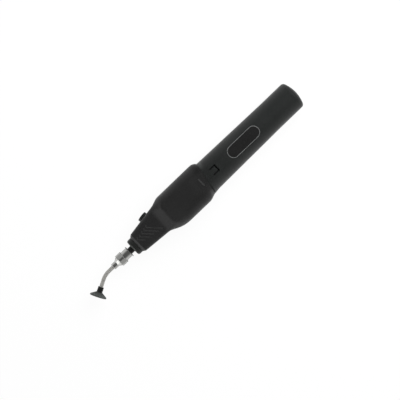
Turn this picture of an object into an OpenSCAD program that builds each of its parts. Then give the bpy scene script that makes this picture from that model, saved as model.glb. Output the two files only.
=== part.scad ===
// Battery vacuum pick-up pen, lying on the flat side of its grip.
// X runs along the pen toward the tail, Y toward the push button, Z up. Sizes are in millimetres.
// Distances named "at" run along the pen's axis from the tip of the tail toward the suction cup.

/* [Battery cover] */
// Length on the axis, from the tip of the tail to the slanted seam
cover_len = 79.4; // [78.5:0.1:86]
// Diameter of the straight tail
tail_d = 19.7; // [19:0.1:20]
// Where the straight tail ends and the flare starts
tail_len = 22.6; // [12:0.2:40]
// Rise of the domed end before its edge turns
dome_h = 1.6; // [0.8:0.1:2]
// Width of the rounded edge round the domed end
dome_edge = 1.6; // [1:0.1:2.2]
// Thickness of the end wall, from the tip of the dome
end_wall = 3.6; // [3.2:0.1:5]
// Diameter at the seam on the button side
mouth_d = 21.3; // [20.6:0.1:21.4]
// Extra radius of the flared lip on the belly side
lip_flare = 0.5; // [0:0.05:0.8]
// Bore over the battery tray
cover_bore_d = 17.1; // [17.1:0.05:17.4]
// Slant of the seam, in degrees from square
seam_slant = 10.6; // [4:0.2:12]
// Open gap at the seam
seam_gap = 0.1; // [0.05:0.05:0.3]

/* [Latch tongue] */
// Distance from the seam back to the tongue's free end
latch_back = 9.9; // [9.4:0.1:10.4]
// Length of the two slots beside the tongue
latch_len = 4.9; // [4:0.1:6]
// Width across the outside of the slot
latch_w = 5.1; // [4.4:0.1:6]
// Width of the slot
latch_slot = 0.95; // [0.5:0.05:1.1]
// Width of the key under the tongue
latch_key_w = 2.4; // [1.6:0.1:2.6]

/* [Grip] */
// Height from the belly to the button side
grip_h = 25.5; // [24.8:0.1:27]
// Width across the two flat sides
grip_w = 22.8; // [22:0.1:24]
// Radius of the grip's long edges
grip_edge_r = 8.5; // [6:0.1:9.5]
// Length on the axis, from the seam to the root of the nose
grip_len = 40.6; // [40:0.2:44]
// Length of the rear shoulder on the button side
shoulder_top = 4; // [3:0.1:6]
// Length of the rear shoulder on the belly side
shoulder_belly = 6; // [4:0.1:8]

/* [Nose] */
// Length from the root to the front face
nose_len = 20.2; // [19:0.2:26]
// Reach of the root toward the button side
nose_root_top = 10.25; // [9.8:0.05:11]
// Reach of the root toward the belly
nose_root_belly = 8.35; // [7.8:0.05:9.5]
// Half the width across the flat sides at the root
nose_root_side = 7.4; // [7.2:0.1:8.4]
// Reach of the front face toward the button side
nose_tip_top = 7; // [6.6:0.1:7.6]
// Reach of the front face toward the belly
nose_tip_belly = 6.85; // [6.4:0.05:7.4]
// Half the width across the flat sides at the front face
nose_tip_side = 6.3; // [6.2:0.1:7]
// Radius of the nose's long edges
nose_edge_r = 2.9; // [2:0.1:3.4]
// Length of the bevel round the front face
nose_rim_len = 1.5; // [0.8:0.1:2]
// Depth of the bevel round the front face
nose_rim_depth = 0.8; // [0.4:0.1:1]
// Number of chevron ribs on each flat side
chevrons = 5; // [3:1:5]
// Height of the chevron ribs
rib_h = 0.3; // [0.2:0.05:0.6]
// Width of the chevron ribs
rib_w = 0.75; // [0.6:0.05:1.2]

/* [Nozzle] */
// Diameter of the collar round the spigot
collar_d = 11.6; // [10:0.1:12]
// Length of the collar
collar_len = 3.8; // [3:0.1:5]
// Length of the bevel on the collar's front edge
collar_edge_len = 0.9; // [0.4:0.1:1.2]
// Depth of the bevel on the collar's front edge
collar_edge_depth = 0.5; // [0.3:0.1:0.8]
// Spigot left bare between collar and needle hub
stem_show = 2.9; // [2:0.1:4]
// Diameter of the spigot's taper where it leaves the collar
stem_d = 4.6; // [4.2:0.1:5]
// Length of the spigot's taper
stem_len = 9.2; // [8:0.1:10]
// Span of the two ears on the hub
ear_span = 7.7; // [7:0.1:9]
// Diameter of the hub's barrel
barrel_d = 6.4; // [6:0.1:7]
// Length of the hub's barrel
barrel_len = 4.4; // [4:0.1:6]
// Hexagon of the hub, across its flats
hex_w = 8; // [7:0.1:9]
// Length of the hexagon
hex_len = 4.1; // [3:0.1:5]
// Length of the cone in front of the hexagon
hub_cone_len = 2.3; // [1.5:0.1:4]
// Diameter of the sleeve that holds the needle
sleeve_d = 4.1; // [3.6:0.1:5]
// Length of the sleeve
sleeve_len = 3.2; // [2:0.1:5]
// Outside diameter of the needle
needle_d = 2.5; // [2:0.05:2.6]
// Wall of the needle
needle_wall = 0.4; // [0.2:0.05:0.5]
// Straight needle between the sleeve and the bend
needle_straight = 3.6; // [2:0.1:8]
// Radius of the bend at the middle of the needle
bend_r = 14; // [10:0.5:20]
// Angle of the bend, in degrees
bend_angle = 28; // [15:1:40]
// Straight length from the bend to the rim of the cup
tip_len = 11.3; // [10.5:0.1:14]
// Diameter of the suction cup's rim
cup_d = 10.8; // [9:0.1:14]
// Height of the suction cup's bell
cup_h = 3.2; // [2.8:0.1:3.8]
// Thickness of the suction cup's rim
cup_rim_t = 0.9; // [0.6:0.1:1.2]
// Length of the suction cup's neck
cup_neck_len = 3.4; // [2.4:0.1:4.2]
// Diameter of the suction cup's neck
cup_neck_d = 3.7; // [3.4:0.1:4.4]

/* [Push button] */
// Distance from the front face of the nose back to the middle of the button
button_back = 14.6; // [14.2:0.1:15]
// Length of the button along the pen
button_len = 6.7; // [6:0.1:7]
// Width of the button
button_w = 5; // [4:0.1:5.4]
// Height of the button above the nose
button_proud = 2.05; // [1:0.05:2.4]
// Travel of the button
button_travel = 0.6; // [0.4:0.05:0.7]
// Wall of the nose at the button
button_wall = 1.6; // [1.3:0.05:1.7]

/* [Drive and pump] */
// Diameter of the motor can
motor_d = 15.6; // [14:0.1:15.8]
// Length of the motor can
motor_len = 14; // [12:0.2:14.4]
// Diameter of the motor shaft
shaft_d = 2; // [1.5:0.1:2.2]
// Diameter of the pump
pump_d = 16.8; // [16.4:0.1:17]
// Tilt of the crank pin, in degrees
crank_tilt = 5; // [3:0.5:6]
// Distance of the three pump chambers from the axis
chamber_r = 4.6; // [4.4:0.1:4.8]
// Outside diameter of the suction hose
hose_d = 3.2; // [3:0.1:3.3]

/* [Battery] */
// Diameter of the cell
cell_d = 14.5; // [14:0.1:14.5]
// Length of the cell, with its nub
cell_len = 50.5; // [48:0.1:50.5]
// Length of the spring behind the cell
spring_len = 4.6; // [3.5:0.1:5]
// Turns of the spring
spring_turns = 3.5; // [2:0.5:4]

/* [Hidden] */
// Clearances
running_fit = 0.03;
close_fit = 0.05;
slip_fit = 0.15;
easy_gap = 0.3;

// Smoothness of round pieces and steps of the lofted grip
$fn = 72;
edge_steps = 6;
far = 60;

// Battery cover and tray, along the axis
tail_r = tail_d / 2;
mouth_r = mouth_d / 2;
cover_bore_r = cover_bore_d / 2;
shoulder_top_at = cover_len - mouth_r * tan(seam_slant);
shoulder_belly_at = cover_len + lip_r() * tan(seam_slant);
neck_wall = 1.3;
neck_bore_r = mouth_r - neck_wall;
neck_r = neck_bore_r - slip_fit;
neck_len = 9;
tray_r = cover_bore_r - 0.2;
cell_r = cell_d / 2;
trough_r = cell_r + slip_fit;
sheet = 0.3;
tray_wall = 1.2;
tray_at = end_wall + 0.8;
plate_at = tray_at + tray_wall;
spring_at = plate_at + sheet;
cell_at = spring_at + spring_len;
nub_len = 1;
nub_d = 5.5;
contact_at = cell_at + cell_len;
tray_front_at = contact_at + sheet;
trough_open = 1;
strip_w = 3.2;
strip_top = trough_r + 0.35;
plate_r = cell_r - 1.65;
contact_r = cell_r - 2.25;
spring_wire_r = 0.35;
spring_wide_r = plate_r - 0.6;
spring_narrow_r = spring_wide_r - 1.6;
tab_w = 3;
tab_z = -4;
flange_t = 1.6;
flange_r = neck_r + 0.85;
flange_at = shoulder_belly_at + 1.7;
flange_end = flange_at + flange_t;

// Domed end and latch of the cover
dome_r = tail_r - dome_edge;
dome_slope = atan(2 * dome_h / dome_r);
edge_arc_r = dome_edge / (1 - sin(dome_slope));
straight_at = dome_h + edge_arc_r * cos(dome_slope);
latch_at = cover_len - latch_back;
key_top = neck_bore_r + 0.3;
key_bottom = tray_r - 0.25;

// Grip and nose, along the axis
nose_root_at = cover_len + grip_len;
nose_at = nose_root_at + nose_len;
nose_top_slope = (nose_root_top - nose_tip_top) / nose_len;
nose_belly_slope = (nose_root_belly - nose_tip_belly) / nose_len;
nose_side_slope = (nose_root_side - nose_tip_side) / nose_len;
pad_from = cover_len + 3.3;
pad_to = cover_len + 4.5;
pad_end = cover_len + 13;
pad_w = 5.8;
pad_rise = 0.62;
pad_sink = [0.25, 0.45];
pad_root = 1;
front_top_from = nose_root_at - 10.2;
front_top_to = nose_root_at - 1.6;
front_belly_from = nose_root_at - 15.5;
front_belly_mid = nose_root_at - 5.5;
front_belly_fall = 0.46;
front_side_from = nose_root_at - 8;
front_side_mid = nose_root_at - 3.6;
front_side_to = nose_root_at + 0.8;
front_side_fall = 0.6;
front_edge_from = nose_root_at - 12;

// Motor and pump, along the axis
motor_r = motor_d / 2;
shaft_r = shaft_d / 2;
end_cap_len = 2.4;
end_cap_r = motor_r - 0.2;
end_cap_at = flange_end + 0.6;
motor_at = end_cap_at + end_cap_len;
pump_at = motor_at + motor_len;
saddle_len = 2;
rear_saddle_len = 3;
boss_r = 3;
boss_h = 0.8;
pump_r = pump_d / 2;
bay_r = pump_r + 0.4;
case_wall = 0.9;
case_floor = 1;
case_len = 7;
wheel_r = 3;
wheel_t = 1.8;
wheel_at = pump_at + case_floor + 0.4;
pin_r = 0.75;
pin_end_at = pump_at + case_len - 0.6;
wobble_at = pump_at + case_len + 2.2;
arm_at = wheel_at + wheel_t + 1.4;
arm_t = 1;
arm_hub_r = 1.8;
arm_end_r = 1.7;
arm_hole_r = 1.25;
stem_pin_r = 0.5;
diaphragm_at = pump_at + case_len;
diaphragm_t = 0.9;
chamber_depth = 0.5;
chamber_out_r = 2;
chamber_wall = 0.4;
valve_at = diaphragm_at + diaphragm_t;
valve_t = 1.5;
flap_t = 0.3;
flap_r = 1.6;
port_r = 0.6;
pump_cover_at = valve_at + valve_t;
pump_cover_t = 2.2;
pump_end = pump_cover_at + pump_cover_t;
nipple_len = 3.6;
nipple_r = 1.15;
duct_r = 0.7;

// Spigot, hub, needle and cup, along the axis and along the bent tip
hose_r = hose_d / 2;
channel_r = hose_r + easy_gap;
seat_t = 1.6;
seat_r = 4.3;
seat_wall = 2.5;
seat_at = nose_at - seat_wall - seat_t;
barb_at = seat_at - 3.6;
shank_r = 3.4;
taper = 0.03;
stem_at = nose_at + collar_len;
stem_end = stem_at + stem_len;
hub_at = stem_at + stem_show;
ear_t = 0.5;
barrel_at = hub_at + ear_t;
hex_at = barrel_at + barrel_len;
cone_at = hex_at + hex_len;
sleeve_at = cone_at + hub_cone_len;
sleeve_end = sleeve_at + sleeve_len;
socket_end = stem_end + 0.8;
needle_at = socket_end + 0.6;
hex_turned_r = hex_w / 2 + 0.25;
hub_edge = 0.3;
needle_r = needle_d / 2;
bend_at = sleeve_end + needle_straight;
bend_end = bend_at + bend_r * sin(bend_angle);
bend_drop = bend_r * (1 - cos(bend_angle));
rim_at = bend_end + tip_len * cos(bend_angle);
rim_drop = bend_drop + tip_len * sin(bend_angle);
cup_r = cup_d / 2;
lip_w = 0.4;
cup_roof = 1.1;
needle_seat = cup_h;
tip_finer = 0.02;
tip_lap = 0.4;

// The pen lies centred over the origin
pen_len = rim_at + cup_r * sin(bend_angle);
tail_x = pen_len / 2;
axis_z = grip_w / 2;

// Button and switch, measured from the nose's top line
button_at = nose_at - button_back;
button_slope = atan(nose_top_slope);
button_fit = 0.2;
button_flange = 0.6;
button_flange_t = 0.7;
button_flange_top = button_wall + 0.1;
plunger_top = button_flange_top + button_flange_t;
switch_top = plunger_top + button_travel + 0.2;
switch_w = 6;
switch_t = 2.7;
plunger_r = 1.4;
board_top = switch_top + switch_t;
board_t = 0.8;
board_l = 9.6;
board_w = 8.2;
pad_in = 0.9;
pad_hole_r = 0.45;

// Screws
screw_r = 0.9;
screw_head_r = 1.5;
screw_head_h = 1.2;
screw_len = 10;
cross_len = 1.8;
cross_w = 0.4;
cross_depth = 0.7;
screw_drop_grip = 6;
screw_drop_nose = 4.6;
screw_y_grip = motor_r + 1.5;
screw_y_nose = 4.7;
screw_at_grip = motor_at + 0.6;
screw_at_nose = seat_at - 3.4;

// Places children on the pen's axis: their Z runs toward the nozzle, their X points up
module axial(at = 0)
    translate([tail_x - at, 0, axis_z]) rotate([0, -90, 0]) children();

// A piece turned about the pen's axis from points of [radius, distance from the tail]
module turned(points) axial() rotate_extrude() polygon(points);

// A plain cylinder on the pen's axis
module round_bar(r, from, to) axial(from) cylinder(r = r, h = to - from);

// A box on the pen's axis, by its distance, its side toward the button and its height
module box(from, to, y, z)
    translate([tail_x - to, y[0], axis_z + z[0]]) cube([to - from, y[1] - y[0], z[1] - z[0]]);

// Places children on the slanted seam: their X runs square to it toward the tail
module on_seam()
    translate([tail_x - cover_len, 0, axis_z]) rotate([0, 0, -seam_slant]) children();

// Places children on the nose's top line at the button: their Y points straight out of it
module on_button()
    translate([tail_x - button_at, top(button_at), axis_z]) rotate([0, 0, button_slope]) children();

// Places children on the bent tip: their Z runs along it, from the end of the bend to the cup
module on_tip()
    translate([tail_x - bend_end, -bend_drop, axis_z]) rotate([0, 0, bend_angle]) rotate([0, -90, 0])
        children();

// A bar with round ends, lying along X, from one height on Y to another
module stadium(l, w, from, to)
    translate([0, from, 0]) {
        for (side = [-1, 1])
            translate([side * (l - w) / 2, 0, 0]) rotate([-90, 0, 0]) cylinder(d = w, h = to - from);
        translate([-(l - w) / 2, 0, -w / 2]) cube([l - w, to - from, w]);
    }

// A smooth curve through knots of [distance, value, slope]
function smooth(a, b, at) =
    let (span = b[0] - a[0], t = (at - a[0]) / span)
    (1 + 2 * t) * (1 - t) * (1 - t) * a[1] + t * (1 - t) * (1 - t) * span * a[2]
    + t * t * (3 - 2 * t) * b[1] - t * t * (1 - t) * span * b[2];
function curve(knots, at, i = 0) =
    i == len(knots) - 2 || at <= knots[i + 1][0]
        ? smooth(knots[i], knots[i + 1], at)
        : curve(knots, at, i + 1);

// Radius of the cover's flared lip on the belly side
function lip_r() = mouth_r + lip_flare;

// The grip's reach toward the button, the belly and the sides, and the radius of its long edges
top_knots = [
    [shoulder_top_at, mouth_r, 1],
    [shoulder_top_at + shoulder_top, grip_h / 2, 0],
    [front_top_from, grip_h / 2, 0],
    [front_top_to, nose_root_top + (nose_root_at - front_top_to) * nose_top_slope, -nose_top_slope],
    [nose_at, nose_tip_top, -nose_top_slope]
];
belly_knots = [
    [shoulder_top_at, lip_r(), 0],
    [shoulder_belly_at, lip_r(), 0.05],
    [shoulder_belly_at + shoulder_belly, grip_h / 2, 0],
    [front_belly_from, grip_h / 2, 0],
    [front_belly_mid, (grip_h / 2 + nose_root_belly) / 2, -front_belly_fall],
    [nose_root_at, nose_root_belly, -nose_belly_slope],
    [nose_at, nose_tip_belly, -nose_belly_slope]
];
side_knots = [
    [shoulder_top_at, mouth_r, 0],
    [pad_end, grip_w / 2, 0],
    [front_side_from, grip_w / 2, 0],
    [front_side_mid, (grip_w / 2 + nose_root_side) / 2, -front_side_fall],
    [front_side_to, nose_root_side - (front_side_to - nose_root_at) * nose_side_slope, -nose_side_slope],
    [nose_at, nose_tip_side, -nose_side_slope]
];
edge_knots = [
    [shoulder_top_at, mouth_r, 0],
    [shoulder_belly_at + shoulder_belly / 2, grip_edge_r, 0],
    [front_edge_from, grip_edge_r, 0],
    [nose_root_at, nose_edge_r, 0],
    [nose_at, nose_edge_r, 0]
];
function top(at) = curve(top_knots, at);
function belly(at) = curve(belly_knots, at);
function side(at) = curve(side_knots, at);
function edge(at) = min(curve(edge_knots, at), side(at) - 0.1, (top(at) + belly(at)) / 2 - 0.1);

// Half of one section of the grip, drawn in by the bevel of the front rim
function half_section(at, inset) =
    let (t = top(at) - inset, b = belly(at) - inset, s = side(at) - inset, r = edge(at) - inset)
    concat(
        [[t, 0]],
        [for (i = [0:edge_steps]) let (a = 90 * i / edge_steps)
            [t - r + r * cos(a), s - r + r * sin(a)]],
        [for (i = [0:edge_steps]) let (a = 90 + 90 * i / edge_steps)
            [r - b + r * cos(a), s - r + r * sin(a)]],
        [[-b, 0]]
    );

// Where the loft takes a section: close together on the shoulders, far apart on straight stretches
function steps(from, to, count) = [for (i = [0:count - 1]) from + (to - from) * i / count];
sections = concat(
    [for (at = concat(
        steps(shoulder_top_at - 1, shoulder_belly_at + shoulder_belly, 14),
        steps(shoulder_belly_at + shoulder_belly, pad_end, 4),
        [pad_end],
        steps(front_belly_from, front_side_to, 18),
        [front_side_to, nose_at - nose_rim_len]
    )) [at, 0]],
    [[nose_at, nose_rim_depth]]
);

// The upper half of the grip and nose, solid, lofted through the sections
module half_loft() {
    rings = [for (s = sections) half_section(s[0], s[1])];
    count = len(rings[0]);
    points = [
        for (i = [0:len(sections) - 1]) for (p = rings[i])
            [tail_x - sections[i][0], p[0], axis_z + p[1]]
    ];
    skin = [
        for (i = [0:len(sections) - 2]) for (j = [0:count - 1])
            let (a = i * count + j, b = i * count + (j + 1) % count)
            for (face = [[a, b, b + count], [a, b + count, a + count]]) face
    ];
    ends = [
        [for (j = [count - 1:-1:0]) j],
        [for (j = [0:count - 1]) (len(sections) - 1) * count + j]
    ];
    polyhedron(points, concat(skin, ends));
}

// A roof-shaped rib along X, rooted below the surface that it stands on
module rib(reach) {
    root = 0.6;
    half = rib_w / 2;
    translate([-half, 0, 0]) rotate([90, 0, 90]) linear_extrude(reach)
        polygon([[-half, -root], [half, -root], [half, 0], [0, rib_h], [-half, 0]]);
}

// Chevron ribs on a flat side of the nose, each with a long leg toward the belly
module chevron_ribs() {
    first = [nose_at - 11.6, 3.5];
    last = [nose_at - 2.3, 1.8];
    long_leg = [11, 5.6];
    short_leg = 2.2;
    slope = atan(nose_side_slope);
    for (i = [0:chevrons - 1]) {
        share = i / (chevrons - 1);
        tip = first + (last - first) * share;
        reach = long_leg[0] + (long_leg[1] - long_leg[0]) * share;
        translate([tail_x - tip[0], tip[1], axis_z + side(tip[0])]) rotate([0, -slope, 0]) {
            rotate([0, 0, -45]) rib(reach);
            rotate([0, 0, 45]) rib(short_leg);
        }
    }
}

// Raised pad where a flat side starts, with a sloped rear end, sinking into the side toward the nose
module flat_pad() {
    flat = grip_w / 2;
    translate([tail_x, pad_w / 2, axis_z]) rotate([90, 0, 0]) linear_extrude(pad_w)
        polygon([
            [-pad_from, flat - pad_root],
            [-pad_from, flat - pad_rise],
            [-pad_to, flat - pad_sink[0]],
            [-pad_end, flat - pad_sink[1]],
            [-pad_end, flat - pad_root]
        ]);
}

// Everything that the two halves of the grip and nose are hollowed out for
module hollows() {
    // Slanted rear face and the hole for the tray's neck
    on_seam() translate([-seam_gap, -far, -far]) cube(2 * far);
    round_bar(neck_r + close_fit, cover_len - far / 2, flange_at + flange_t / 2);
    round_bar(flange_r + close_fit, flange_at, flange_end + close_fit);
    // Motor held in two saddles, and the pump in front of it
    round_bar(end_cap_r + close_fit, flange_at + flange_t / 2, motor_at + 1);
    round_bar(bay_r, motor_at + rear_saddle_len, pump_at - 2 * saddle_len);
    round_bar(motor_r + close_fit, motor_at, pump_at);
    round_bar(bay_r, pump_at - saddle_len, pump_end + easy_gap);
    // Hose, spigot seat and the hole in the front face
    round_bar(channel_r, pump_end, seat_at + seat_t / 2);
    round_bar(seat_r + close_fit, seat_at - close_fit, seat_at + seat_t + close_fit);
    round_bar(shank_r + close_fit, seat_at, nose_at + 1);
    // Button opening and the pocket for the switch board
    on_button() {
        stadium(button_len + 2 * button_fit, button_w + 2 * button_fit, -button_wall - 1, 3);
        translate([-board_l / 2 - close_fit, -board_top - board_t, -board_w / 2 - close_fit])
            cube([board_l + 2 * close_fit, board_top + board_t - button_wall, board_w + 2 * close_fit]);
    }
}

// One half of the grip and nose, hollowed, with its pad and ribs
module hollow_half() {
    difference() {
        half_loft();
        hollows();
    }
    flat_pad();
    chevron_ribs();
}

// Places children at the top of each screw's head seat, with Z up
module at_screws() {
    for (way = [-1, 1]) {
        translate([tail_x - screw_at_grip, way * screw_y_grip, axis_z - screw_drop_grip]) children();
        translate([tail_x - screw_at_nose, way * screw_y_nose, axis_z - screw_drop_nose]) children();
    }
}

module housing_upper() color([0.16, 0.16, 0.16])
    difference() {
        hollow_half();
        at_screws() translate([0, 0, -1]) cylinder(r = screw_r + running_fit, h = screw_len + 1.3);
    }

module housing_lower() color([0.16, 0.16, 0.16])
    difference() {
        translate([0, 0, 2 * axis_z]) mirror([0, 0, 1]) hollow_half();
        at_screws() {
            cylinder(r = screw_r + 0.1, h = screw_len);
            translate([0, 0, -far]) cylinder(r = screw_head_r + slip_fit, h = far);
        }
    }

module housing_screws() color([0.35, 0.35, 0.36])
    at_screws() difference() {
        union() {
            translate([0, 0, -screw_head_h]) cylinder(r = screw_head_r, h = screw_head_h);
            cylinder(r = screw_r, h = screw_len);
        }
        for (turn = [0, 90]) rotate([0, 0, turn])
            translate([-cross_len / 2, -cross_w / 2, -screw_head_h - 1])
                cube([cross_len, cross_w, 1 + cross_depth]);
    }

// Outline of the cover: a domed end, a rounded edge, a straight tail, a slow flare and a lip
cover_outline = concat(
    [for (i = [0:4]) let (r = dome_r * i / 4) [r, dome_h * r * r / (dome_r * dome_r)]],
    [for (i = [1:6]) let (a = (dome_slope - 90) * (1 - i / 6))
        [tail_r - edge_arc_r + edge_arc_r * cos(a), straight_at + edge_arc_r * sin(a)]],
    [
        [tail_r, tail_len],
        [mouth_r, shoulder_top_at],
        [lip_r(), shoulder_belly_at],
        [lip_r(), shoulder_belly_at + 2],
        [0, shoulder_belly_at + 2]
    ]
);

module battery_cover() color([0.18, 0.19, 0.19]) {
    difference() {
        turned(cover_outline);
        round_bar(cover_bore_r, end_wall, cover_len + far);
        round_bar(neck_bore_r, cover_len - neck_len - 0.5, cover_len + far);
        on_seam() translate([-2 * far, -far, -far]) cube(2 * far);
        // Slot round the latch tongue, open toward the seam
        difference() {
            box(latch_at, latch_at + latch_len, [-latch_w / 2, latch_w / 2], [cell_r, mouth_r + 2]);
            box(latch_at + latch_slot, latch_at + latch_len + 1,
                [latch_slot - latch_w / 2, latch_w / 2 - latch_slot], [0, mouth_r + 3]);
        }
    }
    // Key under the tongue, which rides in the tray's keyway
    box(latch_at + latch_slot, latch_at + latch_slot + 1.6,
        [-latch_key_w / 2, latch_key_w / 2], [key_bottom, key_top]);
}

module battery_tray() color([0.13, 0.13, 0.14])
    difference() {
        union() {
            round_bar(tray_r, tray_at, flange_at);
            round_bar(neck_r, cover_len - neck_len, flange_at);
            round_bar(flange_r, flange_at, flange_end);
        }
        // Cell bay, open at the top, and the hollow neck
        round_bar(trough_r, plate_at, tray_front_at);
        box(plate_at, tray_front_at, [-far, far], [trough_open, far]);
        round_bar(trough_r, tray_front_at + tray_wall + 0.4, flange_end + 1);
        // Keyway for the latch, and the strip's groove along the belly of the trough
        box(tray_at - 1, cover_len - 4, [-latch_key_w / 2 - 0.35, latch_key_w / 2 + 0.35],
            [key_bottom - easy_gap, far]);
        box(plate_at, flange_end + 1, [-strip_w / 2 - close_fit, strip_w / 2 + close_fit],
            [-strip_top - sheet - close_fit, -strip_top]);
        box(plate_at, flange_at, [-strip_w / 2 - close_fit, strip_w / 2 + close_fit], [-far, -strip_top]);
        box(plate_at, plate_at + sheet + close_fit, [-strip_w / 2 - close_fit, strip_w / 2 + close_fit],
            [-far, 0]);
        // Slit for the front contact's tab
        box(contact_at, tray_front_at + 2, [-tab_w / 2 - close_fit, tab_w / 2 + close_fit],
            [tab_z - close_fit, tab_z + sheet + close_fit]);
    }

module battery_cell() color([0.55, 0.57, 0.6]) {
    round_bar(cell_r, cell_at, contact_at - nub_len);
    round_bar(nub_d / 2, contact_at - nub_len, contact_at);
}

// Spring behind the cell, wound in a cone from wide at the plate to narrow at the cell
module battery_spring() color([0.75, 0.75, 0.72]) {
    per_turn = 18;
    sides = 6;
    count = floor(spring_turns * per_turn);
    points = [
        for (i = [0:count])
            let (share = i / count, r = spring_wide_r + (spring_narrow_r - spring_wide_r) * share)
            for (j = [0:sides - 1]) let (a = 360 * j / sides, turn = 360 * i / per_turn)
                [
                    (r + spring_wire_r * cos(a)) * cos(turn),
                    (r + spring_wire_r * cos(a)) * sin(turn),
                    spring_wire_r + (spring_len - 2 * spring_wire_r) * share + spring_wire_r * sin(a)
                ]
    ];
    skin = [
        for (i = [0:count - 1]) for (j = [0:sides - 1])
            let (a = i * sides + j, b = i * sides + (j + 1) % sides)
            for (face = [[a, b + sides, b], [a, a + sides, b + sides]]) face
    ];
    ends = [[for (j = [0:sides - 1]) j], [for (j = [sides - 1:-1:0]) count * sides + j]];
    axial(spring_at) polyhedron(points, concat(skin, ends));
}

// Rear contact plate with its long strip under the trough, through the tray's flange
module negative_strip() color([0.78, 0.74, 0.6]) {
    box(plate_at, flange_end, [-strip_w / 2, strip_w / 2], [-strip_top - sheet, -strip_top]);
    box(plate_at, plate_at + sheet, [-strip_w / 2, strip_w / 2], [-strip_top, 0]);
    round_bar(plate_r, plate_at, plate_at + sheet);
}

// Front contact plate with a tab through the tray's wall
module positive_contact() color([0.78, 0.74, 0.6]) {
    round_bar(contact_r, contact_at, tray_front_at);
    box(contact_at, tray_front_at + 4, [-tab_w / 2, tab_w / 2], [tab_z, tab_z + sheet]);
}

module motor_can() color([0.72, 0.73, 0.74])
    difference() {
        union() {
            round_bar(motor_r, motor_at, pump_at);
            round_bar(boss_r, pump_at, pump_at + boss_h);
        }
        round_bar(shaft_r + running_fit, motor_at - 1, pump_at + boss_h + 1);
    }

module motor_end_cap() color([0.85, 0.85, 0.8])
    difference() {
        round_bar(end_cap_r, end_cap_at, motor_at);
        round_bar(shaft_r + running_fit, end_cap_at + 0.8, motor_at + 1);
    }

module motor_shaft() color([0.8, 0.8, 0.82])
    round_bar(shaft_r, end_cap_at + 1, wheel_at + wheel_t - 0.3);

// Places children on the tilted crank pin: their Z runs along it, from the point that it wobbles about
module on_crank() axial(wobble_at) rotate([crank_tilt, 0, 0]) children();

module drive_wheel() color([0.9, 0.9, 0.86])
    difference() {
        union() {
            round_bar(wheel_r, wheel_at, wheel_at + wheel_t);
            intersection() {
                on_crank() translate([0, 0, wheel_at - wobble_at]) cylinder(r = pin_r, h = 2 * wheel_r + 2);
                round_bar(wheel_r, wheel_at + wheel_t / 2, pin_end_at);
            }
        }
        round_bar(shaft_r + running_fit / 3, wheel_at - 1, wheel_at + wheel_t - 0.3);
    }

// Three-armed plate that rocks on the crank pin and works the diaphragm
module wobble_plate() color([0.86, 0.87, 0.9])
    on_crank() translate([0, 0, arm_at - wobble_at]) difference() {
        union() {
            translate([0, 0, -0.8]) cylinder(r = arm_hub_r, h = arm_t + 1.1);
            for (turn = [0:120:240]) rotate([0, 0, turn]) {
                translate([chamber_r, 0, 0]) cylinder(r = arm_end_r, h = arm_t);
                translate([0, -0.9, 0]) cube([chamber_r, 1.8, arm_t]);
            }
        }
        translate([0, 0, -2]) cylinder(r = pin_r + running_fit, h = arm_t + 4);
        for (turn = [0:120:240]) rotate([0, 0, turn])
            translate([chamber_r, 0, -1]) cylinder(r = arm_hole_r, h = arm_t + 2);
    }

module pump_case() color([0.2, 0.21, 0.22])
    difference() {
        round_bar(pump_r, pump_at, diaphragm_at);
        round_bar(pump_r - case_wall, pump_at + case_floor, diaphragm_at + 1);
        round_bar(boss_r + close_fit, pump_at - 1, pump_at + case_floor + 1);
    }

// Rubber sheet with three dished chambers, each with a stem through an arm of the wobble plate
module diaphragm() color([0.1, 0.1, 0.1])
    difference() {
        union() {
            round_bar(pump_r, diaphragm_at, valve_at);
            axial() for (turn = [0:120:240]) rotate([0, 0, turn]) translate([chamber_r, 0, 0]) {
                translate([0, 0, diaphragm_at - chamber_depth])
                    cylinder(r = chamber_out_r, h = chamber_depth + diaphragm_t / 2);
                translate([0, 0, arm_at - 0.8]) cylinder(r = stem_pin_r, h = diaphragm_at - arm_at + 0.9);
            }
        }
        axial() for (turn = [0:120:240]) rotate([0, 0, turn])
            translate([chamber_r, 0, diaphragm_at - chamber_depth + chamber_wall])
                cylinder(r = chamber_out_r - chamber_wall, h = diaphragm_t + 1);
    }

module valve_plate() color([0.82, 0.82, 0.78])
    difference() {
        round_bar(pump_r, valve_at, pump_cover_at);
        axial() for (turn = [0:120:240]) rotate([0, 0, turn]) {
            translate([chamber_r, 0, valve_at - 1]) cylinder(r = port_r, h = valve_t + 2);
            translate([chamber_r, 0, pump_cover_at - flap_t]) cylinder(r = flap_r + close_fit, h = 1);
        }
    }

module valve_flaps() color([0.45, 0.16, 0.13])
    axial() for (turn = [0:120:240]) rotate([0, 0, turn])
        translate([chamber_r, 0, pump_cover_at - flap_t]) cylinder(r = flap_r, h = flap_t);

module pump_cover() color([0.2, 0.21, 0.22])
    difference() {
        union() {
            round_bar(pump_r, pump_cover_at, pump_end);
            round_bar(nipple_r, pump_end, pump_end + nipple_len);
        }
        // Ring-shaped gallery over the flaps, spokes to the middle, and the duct out
        axial(pump_cover_at) difference() {
            translate([0, 0, -1]) cylinder(r = chamber_r + 0.7, h = 2);
            translate([0, 0, -2]) cylinder(r = chamber_r - 0.7, h = 4);
        }
        axial(pump_cover_at) for (turn = [0:120:240]) rotate([0, 0, turn])
            translate([0, -0.5, -1]) cube([chamber_r, 1, 2]);
        round_bar(duct_r, pump_cover_at - 1, pump_end + nipple_len + 1);
    }

module suction_hose() color([0.9, 0.9, 0.86])
    difference() {
        round_bar(hose_r, pump_end + 0.4, seat_at - 0.2);
        round_bar(nipple_r + running_fit, pump_end, seat_at);
    }

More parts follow.
